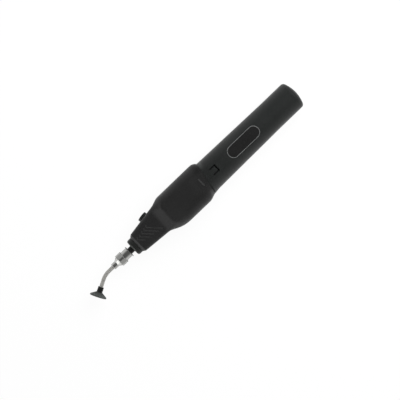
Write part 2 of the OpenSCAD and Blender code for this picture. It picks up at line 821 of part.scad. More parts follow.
module vacuum_spigot() color([0.11, 0.11, 0.11])
    turned([
        [duct_r, barb_at],
        [nipple_r - 0.2, barb_at],
        [nipple_r, barb_at + 1],
        [nipple_r, seat_at],
        [seat_r, seat_at],
        [seat_r, seat_at + seat_t],
        [shank_r, seat_at + seat_t],
        [shank_r, stem_at],
        [stem_d / 2, stem_at],
        [stem_d / 2 - taper * stem_len, stem_end],
        [duct_r, stem_end]
    ]);

module nose_collar() color([0.14, 0.14, 0.14])
    turned([
        [shank_r + close_fit, nose_at],
        [collar_d / 2, nose_at],
        [collar_d / 2, stem_at - collar_edge_len],
        [collar_d / 2 - collar_edge_depth, stem_at],
        [shank_r + close_fit, stem_at]
    ]);

// Radius of the hub's taper socket, a running fit on the spigot
function socket_r(at) = stem_d / 2 - taper * (at - stem_at) + running_fit;

module needle_hub() color([0.76, 0.77, 0.78])
    difference() {
        union() {
            // Two ears on a thin flange
            intersection() {
                round_bar(ear_span / 2, hub_at, barrel_at);
                box(hub_at - 1, barrel_at + 1, [-far, far], [-barrel_d / 2 + 0.6, barrel_d / 2 - 0.6]);
            }
            round_bar(barrel_d / 2, hub_at, hex_at);
            // Hexagon with a corner uppermost, its corners and ends turned off
            intersection() {
                axial(hex_at) cylinder(r = hex_w / sqrt(3), h = hex_len, $fn = 6);
                turned([
                    [0, hex_at],
                    [hex_w / 2, hex_at],
                    [hex_turned_r, hex_at + hub_edge],
                    [hex_turned_r, cone_at - hub_edge],
                    [hex_w / 2, cone_at],
                    [0, cone_at]
                ]);
            }
            turned([
                [0, cone_at],
                [hex_w / 2 - 0.6, cone_at],
                [sleeve_d / 2, sleeve_at],
                [sleeve_d / 2, sleeve_end - hub_edge],
                [sleeve_d / 2 - hub_edge, sleeve_end],
                [0, sleeve_end]
            ]);
        }
        turned([
            [0, hub_at - 1],
            [socket_r(hub_at - 1), hub_at - 1],
            [socket_r(socket_end), socket_end],
            [0, socket_end]
        ]);
        round_bar(duct_r, socket_end - 1, needle_at + 1);
        round_bar(needle_r + running_fit / 3, needle_at, sleeve_end + 1);
    }

// The needle's section, a ring that can be drawn finer
module needle_section(finer = 0)
    difference() {
        circle(r = needle_r - finer);
        circle(r = needle_r - needle_wall + finer);
    }

module needle_tube() color([0.78, 0.79, 0.8]) {
    axial(needle_at) linear_extrude(bend_at - needle_at) needle_section();
    translate([tail_x - bend_at, -bend_r, axis_z]) rotate([0, 0, 90])
        rotate_extrude(angle = bend_angle) translate([bend_r, 0]) needle_section();
    on_tip() translate([0, 0, -tip_lap])
        linear_extrude(tip_lap + tip_len - needle_seat) needle_section(tip_finer);
}

// Rubber cup on the needle's end: a plain neck and a hollow cone with a thick rim
module suction_cup() color([0.2, 0.21, 0.21]) {
    bell_at = tip_len - cup_h;
    neck_at = bell_at - cup_neck_len;
    roof_at = bell_at + cup_roof;
    seat = tip_len - needle_seat;
    throat_r = needle_r - needle_wall;
    bore_r = needle_r - tip_finer + running_fit;
    on_tip() rotate_extrude() polygon([
        [bore_r, neck_at],
        [cup_neck_d / 2, neck_at],
        [cup_neck_d / 2, bell_at],
        [cup_r, tip_len - cup_rim_t],
        [cup_r, tip_len],
        [cup_r - lip_w, tip_len],
        [cup_neck_d / 2 - lip_w, roof_at],
        [throat_r, roof_at],
        [throat_r, seat],
        [bore_r, seat]
    ]);
}

// Crowned button with a flange that holds it under the nose's wall
module push_button() color([0.15, 0.15, 0.15]) {
    crown_r = 14;
    on_button() {
        intersection() {
            stadium(button_len, button_w, -button_flange_top, button_proud);
            translate([0, button_proud - crown_r, 0]) sphere(r = crown_r);
        }
        stadium(button_len + 2 * button_flange, button_w + 2 * button_flange,
            -plunger_top, -button_flange_top);
    }
}

module switch_plunger() color([0.1, 0.1, 0.1])
    on_button() translate([0, -switch_top - 1, 0]) rotate([-90, 0, 0])
        cylinder(r = plunger_r, h = switch_top + 1 - plunger_top);

module switch_body() color([0.25, 0.25, 0.27])
    on_button() difference() {
        translate([-switch_w / 2, -board_top, -switch_w / 2]) cube([switch_w, switch_t, switch_w]);
        translate([0, -switch_top - 1 - button_travel - 0.2, 0]) rotate([-90, 0, 0])
            cylinder(r = plunger_r + running_fit, h = 4);
    }

module circuit_board() color([0.1, 0.35, 0.2])
    on_button() difference() {
        translate([-board_l / 2, -board_top - board_t, -board_w / 2]) cube([board_l, board_t, board_w]);
        for (x = [-1, 1]) for (z = [-1, 1])
            translate([x * (board_l / 2 - pad_in), -board_top - board_t - 1, z * (board_w / 2 - pad_in)])
                rotate([-90, 0, 0]) cylinder(r = pad_hole_r, h = board_t + 2);
    }

housing_upper();
housing_lower();
housing_screws();
battery_cover();
battery_tray();
battery_cell();
battery_spring();
negative_strip();
positive_contact();
motor_can();
motor_end_cap();
motor_shaft();
drive_wheel();
wobble_plate();
pump_case();
diaphragm();
valve_plate();
valve_flaps();
pump_cover();
suction_hose();
vacuum_spigot();
nose_collar();
needle_hub();
needle_tube();
suction_cup();
push_button();
switch_plunger();
switch_body();
circuit_board();
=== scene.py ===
"""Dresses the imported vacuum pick-up pen: softened mouldings, finishes and a plain studio."""

import math

import bpy
from bpy.props import FloatProperty, FloatVectorProperty, PointerProperty
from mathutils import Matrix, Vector


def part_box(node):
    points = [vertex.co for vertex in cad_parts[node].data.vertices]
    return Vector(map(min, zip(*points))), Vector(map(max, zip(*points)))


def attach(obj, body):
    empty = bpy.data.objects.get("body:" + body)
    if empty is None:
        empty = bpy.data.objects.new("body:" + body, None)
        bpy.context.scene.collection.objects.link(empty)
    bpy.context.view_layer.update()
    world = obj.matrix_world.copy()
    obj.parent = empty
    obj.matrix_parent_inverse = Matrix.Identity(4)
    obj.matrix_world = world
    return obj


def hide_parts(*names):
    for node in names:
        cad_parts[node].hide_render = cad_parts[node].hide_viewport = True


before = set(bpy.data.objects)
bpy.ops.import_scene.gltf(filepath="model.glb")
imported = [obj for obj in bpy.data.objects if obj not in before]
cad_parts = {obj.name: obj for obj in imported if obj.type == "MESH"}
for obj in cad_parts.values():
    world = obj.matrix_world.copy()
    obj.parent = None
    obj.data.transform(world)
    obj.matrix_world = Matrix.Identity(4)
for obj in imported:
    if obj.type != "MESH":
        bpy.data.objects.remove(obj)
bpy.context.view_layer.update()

bl_info = {
    "name": "Vacuum pick-up pen",
    "version": (1, 0, 0),
    "blender": (4, 5, 0),
    "location": "View3D > Sidebar > Pen",
    "description": "Dresses the packed vacuum pick-up pen and sets up its studio",
    "category": "Object",
}

TAIL_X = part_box("battery_cover")[1].x
AXIS_Z = sum(corner.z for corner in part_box("motor_can")) / 2

# Lengths are in metres. A pair gives the two ends of a range, or of a smooth rise or fall.

# Corners of the grip's step that are drawn back: outward and upward from the axis, and along the pen
STEP_OUT, STEP_UP = (0.0055, 0.0095), (0.004, 0.008)
STEP_START, STEP_END = (0.104, 0.1105), (0.1205, 0.1145)

# Faces with painted highlights, the hub's cone among them: how far they lean along the pen, as the normal's
# X, and where across the pen the painted highlight on the rim and on the collar rises
HIGHLIGHT_LEAN, CONE_LEAN = (0.2, 0.9), (0.25, 0.9)
RIM_ENDS, COLLAR_TOP = (0.0025, 0.0055), (0.0032, 0.001)

# Marks and painted light along the seam: half widths within which each is full and at which it has faded
SEAM_DARK_WIDE, LINE_WIDE, LEE_WIDE = (0.003, 0.009), (0.0002, 0.0007), (0.0015, 0.007)
SHOULDER_WIDE, BELLY_WIDE, MIDDLE_WIDE = (0.0003, 0.002), (0.0004, 0.0017), (0.002, 0.006)
# How far past the seam, toward the tail, the two painted highlights lie
SHOULDER_PAST, BELLY_PAST = 0.0014, -0.0015
# Where each mark rises across the pen, and where the tail's end turns dull
LINE_UP, LEE_UP = (0.003, 0.0095), (0.002, 0.0075)
SHOULDER_UP, BELLY_UP = (0.005, 0.0095), (0.0068, 0.0098)
TAIL_END = (-0.0036, -0.0008)
# Strength of the darker band along the seam and of the dark line, and what is added in the middle and on the
# belly
SEAM_DARK, SEAM_DARK_MORE, LINE, LINE_MORE = 0.08, 0.12, 0.15, 0.48
# How much darker and how much duller the painted shade makes the shoulder's lee, and the same for the tail's
# end
LEE_DARK, LEE_DULL, TAIL_DARK, TAIL_DULL = 0.32, 0.65, 0.5, 0.9

# Bare plate: height over the cover from which it is laid down, thickness of its face to that of its rim,
# share of the width that its round corners take up, steps of each corner and strips across
PLATE_DROP, FACE_RISE, END_SHARE, END_STEPS, STRIPS = 0.002, 1.5, 0.49, 10, 20

# Angle in degrees past which an edge is sharp, strength of the relief and the camera's width in millimetres
SHARP, RELIEF, SENSOR = 35.0, 0.5, 36


def tone(name, description, default):
    """A colour that a user can change."""
    return FloatVectorProperty(name=name, description=description, default=default, subtype="COLOR",
                               min=0, max=1)


def length(name, description, default):
    """A length in metres that a user can change."""
    return FloatProperty(name=name, description=description, default=default, unit="LENGTH",
                         precision=5, min=0)


def amount(name, description, default):
    """A plain number that a user can change."""
    return FloatProperty(name=name, description=description, default=default, min=0)


def power(name, description, default):
    """A light's power in watts that a user can change."""
    return FloatProperty(name=name, description=description, default=default, unit="POWER", min=0)


def coordinate(name, description, default):
    """A coordinate in metres that a user can change."""
    return FloatProperty(name=name, description=description, default=default, unit="LENGTH", precision=5)


def heading(name, description, degrees):
    """An angle that a user can change."""
    return FloatProperty(name=name, description=description, default=math.radians(degrees), subtype="ANGLE")


class PenMouldings(bpy.types.PropertyGroup):
    """Colours, edges and marks of the pen's plastic pieces."""

    grip_tone: tone("Grip", "Colour of the grip and nose", (0.0178, 0.0178, 0.0178))
    cover_tone: tone("Cover", "Colour of the battery cover", (0.0179, 0.0196, 0.0191))
    button_tone: tone("Button", "Colour of the push button", (0.019, 0.02, 0.0195))
    fitting_tone: tone("Fitting", "Colour of the spigot and its collar", (0.016, 0.017, 0.016))
    plate_tone: tone("Plate", "Colour of the bare plate", (0.01, 0.01, 0.01))
    rim_tone: tone("Plate rim", "Colour of the rim round the bare plate", (0.24, 0.245, 0.245))
    shine: amount("Shine", "Mirror strength of the grip, cover and button", 0.25)
    fitting_shine: amount("Fitting shine", "Mirror strength of the spigot and its collar", 0.2)
    edge_soft: length("Edge softness", "Width of the rounding along moulded edges", 0.00016)
    step_curve: length("Step curve", "How far the corners of the step before the nose are drawn back", 0.003)
    step_inner: length("Step inside", "Radius round the axis inside which the step keeps its shape", 0.0096)
    # Gain and strengths of the painted highlights on the nose's ribs and rim, the side pad and the collar
    highlight_gain: amount("Edge highlights", "How much paler the rubbed edges are", 0.9)
    ribs_from: length("Ribs place", "Distance of the nose's ribs from the tail", 0.122)
    rib_highlight: amount("Rib highlight", "How much the nose's ribs are rubbed", 0.55)
    rim_from: length("Rim place", "Distance of the nose's front rim from the tail", 0.1385)
    rim_highlight: amount("Rim highlight", "How much the middle of the nose's front rim is rubbed", 1.3)
    rim_end_highlight: amount("Rim end highlight", "How much more the rim is rubbed toward its ends", 1.3)
    pad_from: length("Pad place", "Distance of the side pad's slope from the tail", 0.0825)
    pad_to: length("Pad end", "Distance of the slope's upper end from the tail", 0.0841)
    pad_wide: length("Pad width", "Width of the side pad", 0.0058)
    pad_highlight: amount("Pad highlight", "How much the slope of the side pad is rubbed", 1.35)
    collar_highlight: amount("Collar highlight", "How much the collar's front bevel is rubbed", 1.4)
    collar_top_highlight: amount("Collar top highlight", "How much more the bevel is rubbed above and below", 2.4)
    seam_at: length("Seam place", "Distance of the slanted seam from the tail, on the axis", 0.0794)
    seam_slant: heading("Seam slant", "Slant of the seam from square", 10.6)
    # Painted highlights beside the seam, on the shoulder and on the belly
    seam_highlight: amount("Seam highlight", "How much paler the rubbed spots beside the seam are", 1.6)
    plate_at: length("Plate place", "Distance of the plate's middle from the tail", 0.0465)
    plate_len: length("Plate length", "Length of the bare plate", 0.0255)
    plate_wide: length("Plate width", "Width of the bare plate", 0.0082)
    plate_rise: length("Plate thickness", "Thickness of the bare plate", 0.00012)
    rim_wide: length("Plate rim width", "Width of the rim round the bare plate", 0.000275)

    def seam_marks(self):
        """The values of the marks and painted light along the seam."""
        return {"Tail": TAIL_X, "Seam": TAIL_X - self.seam_at, "Slant": self.seam_slant,
                "Rub": self.seam_highlight, "Shine": self.shine}


class PenNozzle(bpy.types.PropertyGroup):
    """Colours and edges of the metal hub, the needle and the rubber cup."""

    hub_tone: tone("Hub", "Colour of the hub's plating", (0.525, 0.525, 0.51))
    needle_tone: tone("Needle", "Colour of the drawn needle", (0.46, 0.455, 0.43))
    cup_tone: tone("Cup", "Colour of the rubber cup's neck", (0.0105, 0.0115, 0.011))
    edge_soft: length("Edge softness", "Width of the rounding along turned edges", 0.00008)
    cup_soft: length("Rim softness", "Width of the rounding along the cup's rim", 0.00018)
    cup_turn: heading("Cup turn", "Heading of the cup's axis from the pen's axis", 28)
    # Painted highlight on the hub's cone
    cone_highlight: amount("Cone highlight", "How much brighter the painted highlight makes the hub's cone", 0.2)
    bloom: amount("Bloom", "How much paler the cup's bell is than its neck", 7.2)
    bell_high: length("Bell height", "Height of the cup's bell over its rim", 0.0032)


class PenStudio(bpy.types.PropertyGroup):
    """Floor, light and camera."""

    floor_tone: tone("Floor", "Colour of the floor", (0.93, 0.93, 0.93))
    floor_wide: length("Floor width", "Width of the floor", 8)
    floor_glow: amount("Floor glow", "Brightness of the floor as it is seen and mirrored", 1.03)
    floor_share: amount("Floor share", "Share of the glow in what is seen of the floor", 0.9)
    surround: amount("Surround", "Brightness of the low surround", 0.72)
    surround_to: amount("Surround height", "Height up to which the surround keeps its brightness", 0.3)
    overhead: amount("Overhead", "Brightness of the dark overhead", 0.13)
    overhead_from: amount("Overhead height", "Height from which the overhead is dark", 0.8)
    lamp: power("Lamp", "Power of the soft lamp over the tail", 2.7)
    nozzle_card: power("Nozzle card", "Power of the low light card beyond the nozzle", 2.4)
    tail_card: power("Tail card", "Power of the low light card beyond the tail", 0.3)
    view_wide: length("View width", "Width of the picture at the pen's axis", 0.2554)
    view_far: length("View distance", "Height of the camera over the pen's axis", 0.9)
    view_x: coordinate("View X", "Place of the camera along the pen", 0.00028)
    view_y: coordinate("View Y", "Place of the camera across the pen", -0.0075)
    view_turn: heading("View turn", "Turn of the picture", -43.83)


def pick(piece):
    """Makes one object the only one selected."""
    bpy.ops.object.select_all(action="DESELECT")
    piece.select_set(True)
    bpy.context.view_layer.objects.active = piece


def edit(piece):
    """Opens a piece for modelling, with all of it selected."""
    pick(piece)
    bpy.ops.object.mode_set(mode="EDIT")
    bpy.ops.mesh.select_all(action="SELECT")


def done():
    """Closes the piece that was opened."""
    bpy.ops.object.mode_set(mode="OBJECT")


def apply(piece, kind, **values):
    """Adds a modifier with these values and applies it."""
    modifier = piece.modifiers.new(kind.lower(), kind)
    for name, value in values.items():
        setattr(modifier, name, value)
    pick(piece)
    bpy.ops.object.modifier_apply(modifier=modifier.name)


def wear(piece, material):
    """Gives a piece one material."""
    piece.data.materials.clear()
    piece.data.materials.append(material)


def ease(value, low, high):
    """Goes smoothly from 0 at low to 1 at high."""
    share = min(1.0, max(0.0, (value - low) / (high - low)))
    return share * share * (3 - 2 * share)


def smoothed(node, name, angle=SHARP, soft=0.0, shape=None):
    """A smoothly shaded copy of a solid, reshaped by shape if given, its sharp edges rounded by soft."""
    piece = bpy.data.objects.new(name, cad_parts[node].data.copy())
    bpy.context.scene.collection.objects.link(piece)
    edit(piece)
    bpy.ops.mesh.customdata_custom_splitnormals_clear()
    bpy.ops.mesh.remove_doubles(threshold=2e-6)
    if soft:
        bpy.ops.mesh.dissolve_limited(angle_limit=math.radians(0.3))
    done()
    if shape:
        shape(piece)
    if soft:
        apply(piece, "BEVEL", width=soft, segments=2, limit_method="ANGLE", use_clamp_overlap=False,
              angle_limit=math.radians(angle), miter_outer="MITER_ARC", loop_slide=False)
    pick(piece)
    bpy.ops.object.shade_smooth_by_angle(angle=math.radians(angle))
    apply(piece, "WEIGHTED_NORMAL", keep_sharp=True, weight=60)
    return piece


def stand_for(piece, body, node, material):
    """Puts a piece in a solid's place, on its body, with its material."""
    wear(piece, material)
    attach(piece, body)
    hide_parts(node)


class Tree:
    """Short words for building a node tree."""

    def __init__(self, tree):
        self.tree = tree

    def add(self, kind, inputs=None, **values):
        """Adds a node with these values; an input takes a value or another node's socket."""
        node = self.tree.nodes.new(kind)
        for name, value in values.items():
            setattr(node, name, value)
        for key, value in (inputs or {}).items():
            if isinstance(value, bpy.types.NodeSocket):
                self.tree.links.new(value, node.inputs[key])
            else:
                node.inputs[key].default_value = value
        return node

    def math(self, operation, *values):
        """The result of one step of arithmetic."""
        node = self.add("ShaderNodeMath", dict(enumerate(values)), operation=operation)
        return node.outputs[0]

    def most(self, first, *others):
        """The greatest of several values."""
        for other in others:
            first = self.math("MAXIMUM", first, other)
        return first

    def noise(self, vector, scale, detail):
        """Noise of this scale and detail."""
        node = self.add("ShaderNodeTexNoise", {"Vector": vector, "Scale": scale, "Detail": detail})
        return node.outputs["Fac"]

    def mixed(self, first, second, share):
        """Two values mixed, with this share of the first."""
        return self.math("ADD", self.math("MULTIPLY", first, share),
                         self.math("MULTIPLY", second, 1 - share))

    def spread(self, value, low, high):
        """Maps a noise value's usual range to low..high."""
        node = self.add("ShaderNodeMapRange", {"Value": value, "From Min": 0.3, "From Max": 0.7,
                                               "To Min": low, "To Max": high})
        return node.outputs[0]

    def ramp(self, value, low, high):
        """Goes smoothly from 0 at low to 1 at high."""
        node = self.add("ShaderNodeMapRange", {"Value": value, "From Min": low, "From Max": high},
                        interpolation_type="SMOOTHSTEP")
        return node.outputs[0]

    def peak(self, value, flat, wide):
        """Is 1 where the value is less than flat from zero and falls to 0 at wide."""
        return self.math("SUBTRACT", 1.0, self.ramp(self.math("ABSOLUTE", value), flat, wide))

    def blend(self, share, dark, light):
        """A colour between dark and light."""
        node = self.add("ShaderNodeMix", {"Factor": share, 6: dark, 7: light}, data_type="RGBA")
        return node.outputs[2]

    def scaled(self, colour, gain):
        """A colour times a value."""
        node = self.add("ShaderNodeVectorMath", {0: colour, "Scale": gain}, operation="SCALE")
        return node.outputs["Vector"]


def new_group(name, takes, gives):
    """A shader group that holds only its sockets, given as labels with their kinds."""
    group = bpy.data.node_groups.new(name, "ShaderNodeTree")
    for way, sockets in (("INPUT", takes), ("OUTPUT", gives)):
        for label, kind in sockets.items():
            group.interface.new_socket(name=label, in_out=way, socket_type="NodeSocket" + kind)
    return group


def surface_group(name, pattern):
    """A shader group with tones, a scale and a range of gloss; pattern gives its share and its height."""
    group = new_group(name, {"Dark": "Color", "Light": "Color", "Scale": "Float", "Smooth": "Float",
                             "Rough": "Float"}, {"Color": "Color", "Roughness": "Float", "Height": "Float"})
    tree = Tree(group)
    given = tree.add("NodeGroupInput").outputs
    place = tree.add("ShaderNodeTexCoord").outputs["Object"]
    share, height = pattern(tree, place, given["Scale"])
    colour = tree.blend(share, given["Dark"], given["Light"])
    gloss = tree.add("ShaderNodeMapRange", {"Value": share, "To Min": given["Smooth"],
                                            "To Max": given["Rough"]}).outputs[0]
    tree.add("NodeGroupOutput", {"Color": colour, "Roughness": gloss, "Height": height})
    return group


def moulded_grain(tree, place, scale):
    """Fine eroded grain of a mould with broad patches where hands have polished it."""
    grain = tree.noise(place, scale, detail=3.0)
    patches = tree.noise(place, scale=55.0, detail=2.0)
    return tree.spread(tree.mixed(patches, grain, share=0.6), 0.0, 1.0), grain


def turned_lines(tree, place, scale):
    """Fine tool lines round the pen's axis."""
    along = tree.add("ShaderNodeSeparateXYZ", {0: place}).outputs[0]
    lines = tree.noise(tree.add("ShaderNodeCombineXYZ", {0: along}).outputs[0], scale, detail=4.0)
    cloud = tree.noise(place, scale=700.0, detail=2.0)
    return tree.spread(tree.mixed(lines, cloud, share=0.7), 0.0, 1.0), lines


def drawn_streaks(tree, place, scale):
    """Streaks along a drawn tube or wire."""
    drawn = tree.add("ShaderNodeMapping", {"Vector": place, "Scale": (0.06, 1.0, 1.0)}).outputs[0]
    streaks = tree.noise(drawn, scale, detail=4.0)
    return tree.spread(streaks, 0.0, 1.0), streaks


def rubber_bloom(tree, place, scale):
    """Soft cloudy bloom of moulded rubber with a fine grain."""
    bloom = tree.noise(place, scale=320.0, detail=3.0)
    grain = tree.noise(place, scale, detail=2.0)
    return tree.spread(tree.mixed(bloom, grain, share=0.75), 0.0, 1.0), grain


PATTERNS = {"Moulded grain": moulded_grain, "Turned lines": turned_lines, "Drawn streaks": drawn_streaks,
            "Rubber bloom": rubber_bloom}


def paling():
    """A shader group that pales a colour, a little unevenly, by the mesh's "pale" attribute."""
    group = new_group("Paling", {"Color": "Color", "Gain": "Float"}, {"Color": "Color"})
    tree = Tree(group)
    given = tree.add("NodeGroupInput").outputs
    place = tree.add("ShaderNodeTexCoord").outputs["Object"]
    marked = tree.add("ShaderNodeAttribute", attribute_name="pale").outputs["Fac"]
    patchy = tree.spread(tree.noise(place, scale=1400.0, detail=3.0), 0.8, 1.2)
    uneven = tree.math("MULTIPLY", marked, patchy)
    gain = tree.math("MULTIPLY_ADD", uneven, given["Gain"], 1.0)
    tree.add("NodeGroupOutput", {"Color": tree.scaled(given["Color"], gain)})
    return group


def seam_line_and_painted_light():
    """A shader group: a darker band, a dark line, painted shade and highlights at the seam, a darker, duller
    tail.
    """
    group = new_group("Seam wear", {"Color": "Color", "Tail": "Float", "Seam": "Float", "Slant": "Float",
                                    "Rub": "Float", "Shine": "Float"}, {"Color": "Color", "Shine": "Float"})
    tree = Tree(group)
    given = tree.add("NodeGroupInput").outputs
    place = tree.add("ShaderNodeTexCoord").outputs["Object"]
    along, across, _ = tree.add("ShaderNodeSeparateXYZ", {0: place}).outputs
    from_seam = tree.math("SUBTRACT", along, given["Seam"])
    past = tree.math("SUBTRACT", tree.math("MULTIPLY", from_seam, tree.math("COSINE", given["Slant"])),
                     tree.math("MULTIPLY", across, tree.math("SINE", given["Slant"])))
    down = tree.math("MULTIPLY", across, -1.0)
    # A darker band along the seam, more in the middle
    seam_dark = tree.math("MULTIPLY", tree.peak(past, *SEAM_DARK_WIDE),
                      tree.math("MULTIPLY_ADD", tree.peak(across, *MIDDLE_WIDE), SEAM_DARK_MORE, SEAM_DARK))
    line = tree.math("MULTIPLY", tree.peak(past, *LINE_WIDE),
                     tree.math("MULTIPLY_ADD", tree.ramp(down, *LINE_UP), LINE_MORE, LINE))
    # Painted highlights, on top just past the seam and on the belly just before it
    shoulder = tree.math("MULTIPLY", tree.peak(tree.math("SUBTRACT", past, SHOULDER_PAST), *SHOULDER_WIDE),
                         tree.ramp(across, *SHOULDER_UP))
    belly = tree.math("MULTIPLY", tree.peak(tree.math("SUBTRACT", past, BELLY_PAST), *BELLY_WIDE),
                      tree.ramp(down, *BELLY_UP))
    # Painted shade in the lee of the shoulder, on the grip's side of the seam
    lee = tree.math("MULTIPLY", tree.math("LESS_THAN", past, 0.0),
                    tree.math("MULTIPLY", tree.peak(past, *LEE_WIDE), tree.ramp(across, *LEE_UP)))
    end = tree.ramp(tree.math("SUBTRACT", along, given["Tail"]), *TAIL_END)
    dark = tree.most(seam_dark, line, tree.math("MULTIPLY", lee, LEE_DARK),
                     tree.math("MULTIPLY", end, TAIL_DARK))
    dull = tree.most(line, tree.math("MULTIPLY", lee, LEE_DULL), tree.math("MULTIPLY", end, TAIL_DULL))
    level = tree.math("MULTIPLY_ADD", tree.most(shoulder, belly), given["Rub"],
                      tree.math("SUBTRACT", 1.0, dark))
    shine = tree.math("MULTIPLY", given["Shine"], tree.math("SUBTRACT", 1.0, dull))
    tree.add("NodeGroupOutput", {"Color": tree.scaled(given["Color"], level), "Shine": shine})
    return group


def mark_pale(piece, domain, amounts):
    """Says how much each face or point of a piece is paled."""
    marks = piece.data.attributes.new("pale", "FLOAT", domain)
    marks.data.foreach_set("value", amounts)


def finish(name, pattern, colour, scale, gloss, depth, vary=0.12, pale=0.0, seam=None, **sockets):
    """A material whose colour varies round one tone, with its gloss range and the depth of its relief.

    It is paled by the mesh's marks where pale isn't zero, and has the seam's marks and painted light where
    given.
    """
    group = bpy.data.node_groups.get(pattern) or surface_group(pattern, PATTERNS[pattern])
    made = bpy.data.materials.new("pen_" + name)
    made.use_nodes = True
    tree = Tree(made.node_tree)
    link = made.node_tree.links.new
    shader = made.node_tree.nodes["Principled BSDF"]
    given = tree.add("ShaderNodeGroup", node_tree=group)
    for label, share in (("Dark", 1 - vary), ("Light", 1 + vary)):
        given.inputs[label].default_value = [min(1.0, c * share) for c in colour] + [1.0]
    given.inputs["Scale"].default_value = scale
    given.inputs["Smooth"].default_value, given.inputs["Rough"].default_value = gloss
    bump = tree.add("ShaderNodeBump", {"Strength": RELIEF, "Distance": depth,
                                       "Height": given.outputs["Height"]})
    base = given.outputs["Color"]
    if pale:
        known = bpy.data.node_groups.get("Paling") or paling()
        paled = tree.add("ShaderNodeGroup", node_tree=known)
        paled.inputs["Gain"].default_value = pale
        link(base, paled.inputs["Color"])
        base = paled.outputs["Color"]
    if seam:
        known = bpy.data.node_groups.get("Seam wear") or seam_line_and_painted_light()
        used = tree.add("ShaderNodeGroup", node_tree=known)
        for label, value in seam.items():
            used.inputs[label].default_value = value
        link(base, used.inputs["Color"])
        link(used.outputs["Shine"], shader.inputs["Specular IOR Level"])
        base = used.outputs["Color"]
    link(base, shader.inputs["Base Color"])
    link(given.outputs["Roughness"], shader.inputs["Roughness"])
    link(bump.outputs["Normal"], shader.inputs["Normal"])
    for label, value in sockets.items():
        shader.inputs[label.replace("_", " ")].default_value = value
    made.diffuse_color = [*colour, 1.0]
    return made


class PEN_OT_grip(bpy.types.Operator):
    """Softens the two halves of the grip and nose"""

    bl_idname = "pen.grip"
    bl_label = "Grip and nose"

    @staticmethod
    def highlighted(looks, face):
        """The painted highlight on a face: on the nose's front rim and ribs, and on the slope of the side
        pad.
        """
        along = TAIL_X - face.center.x
        if not HIGHLIGHT_LEAN[0] < abs(face.normal.x) < HIGHLIGHT_LEAN[1]:
            return 0.0
        if along > looks.rim_from:
            return looks.rim_highlight + looks.rim_end_highlight * ease(abs(face.center.y), *RIM_ENDS)
        if along > looks.ribs_from:
            return looks.rib_highlight
        on_pad = looks.pad_from < along < looks.pad_to and abs(face.center.y) < looks.pad_wide / 2
        return looks.pad_highlight if on_pad else 0.0

    @staticmethod
    def curve_step(looks, piece):
        """Draws back the outer corners of the step before the nose, so that its upper edge is curved."""
        for corner in piece.data.vertices:
            along = TAIL_X - corner.co.x
            out, up = abs(corner.co.y), abs(corner.co.z - AXIS_Z)
            if math.hypot(out, up) > looks.step_inner:
                share = ease(out, *STEP_OUT) * ease(up, *STEP_UP)
                share *= ease(along, *STEP_START) * ease(along, *STEP_END)
                corner.co.x += looks.step_curve * share

    def execute(self, context):
        looks = context.scene.pen_mouldings
        moulding = finish("grip_moulding", "Moulded grain", looks.grip_tone, scale=2600.0, gloss=(0.36, 0.5),
                          depth=2.5e-5, pale=looks.highlight_gain, seam=looks.seam_marks())
        for half in ("upper", "lower"):
            skin = smoothed("housing_" + half, "grip_skin_" + half, angle=20.0,
                            shape=lambda piece: self.curve_step(looks, piece))
            # Painted highlights on the nose's front rim and ribs and on the slope of the side pad
            mark_pale(skin, "FACE", [self.highlighted(looks, face) for face in skin.data.polygons])
            stand_for(skin, "pen", "housing_" + half, moulding)
        return {"FINISHED"}


class PEN_OT_cover(bpy.types.Operator):
    """Softens the battery cover with its lip and latch tongue"""

    bl_idname = "pen.cover"
    bl_label = "Battery cover"

    def execute(self, context):
        looks = context.scene.pen_mouldings
        moulding = finish("cover_moulding", "Moulded grain", looks.cover_tone, scale=3200.0,
                          gloss=(0.34, 0.46), depth=2e-5, seam=looks.seam_marks())
        skin = smoothed("battery_cover", "cover_skin", angle=30.0)
        stand_for(skin, "cover", "battery_cover", moulding)
        return {"FINISHED"}


class PEN_OT_plate(bpy.types.Operator):
    """Lays a bare plate with round ends on the battery cover"""

    bl_idname = "pen.plate"
    bl_label = "Bare plate"

    def execute(self, context):
        looks = context.scene.pen_mouldings
        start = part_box("battery_cover")[1].z + PLATE_DROP
        for name, inset, rise, colour in (
            ("plate_rim", 0.0, looks.plate_rise, looks.rim_tone),
            ("plate_face", 2 * looks.rim_wide, looks.plate_rise * FACE_RISE, looks.plate_tone),
        ):
            wide = looks.plate_wide - inset
            bpy.ops.object.select_all(action="DESELECT")
            bpy.ops.mesh.primitive_plane_add(size=1, location=(TAIL_X - looks.plate_at, 0, start))
            plate = context.object
            plate.name = name
            plate.scale = (looks.plate_len - inset, wide, 1)
            bpy.ops.object.transform_apply(location=True, rotation=True, scale=True)
            edit(plate)
            bpy.ops.mesh.bevel(affect="VERTICES", offset=wide * END_SHARE, segments=END_STEPS)
            for strip in range(1 - STRIPS // 2, STRIPS // 2):
                bpy.ops.mesh.select_all(action="SELECT")
                bpy.ops.mesh.bisect(plane_co=(0, strip * looks.plate_wide / STRIPS, 0), plane_no=(0, 1, 0))
            done()
            apply(plate, "SHRINKWRAP", target=bpy.data.objects["cover_skin"], wrap_method="PROJECT",
                  use_project_z=True, use_negative_direction=True, use_positive_direction=False)
            apply(plate, "SOLIDIFY", thickness=rise, offset=1.0)
            edit(plate)
            bpy.ops.mesh.normals_make_consistent(inside=False)
            done()
            bpy.ops.object.shade_smooth_by_angle(angle=math.radians(SHARP))
            wear(plate, finish(name, "Moulded grain", colour, scale=4000.0, gloss=(0.3, 0.38), depth=6e-6,
                               vary=0.06))
            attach(plate, "cover")
        return {"FINISHED"}


class PEN_OT_button(bpy.types.Operator):
    """Softens the push button"""

    bl_idname = "pen.button"
    bl_label = "Push button"

    def execute(self, context):
        looks = context.scene.pen_mouldings
        moulding = finish("button_moulding", "Moulded grain", looks.button_tone, scale=3000.0,
                          gloss=(0.34, 0.46), depth=2e-5, Specular_IOR_Level=looks.shine)
        cap = smoothed("push_button", "button_cap", soft=looks.edge_soft)
        stand_for(cap, "button", "push_button", moulding)
        return {"FINISHED"}


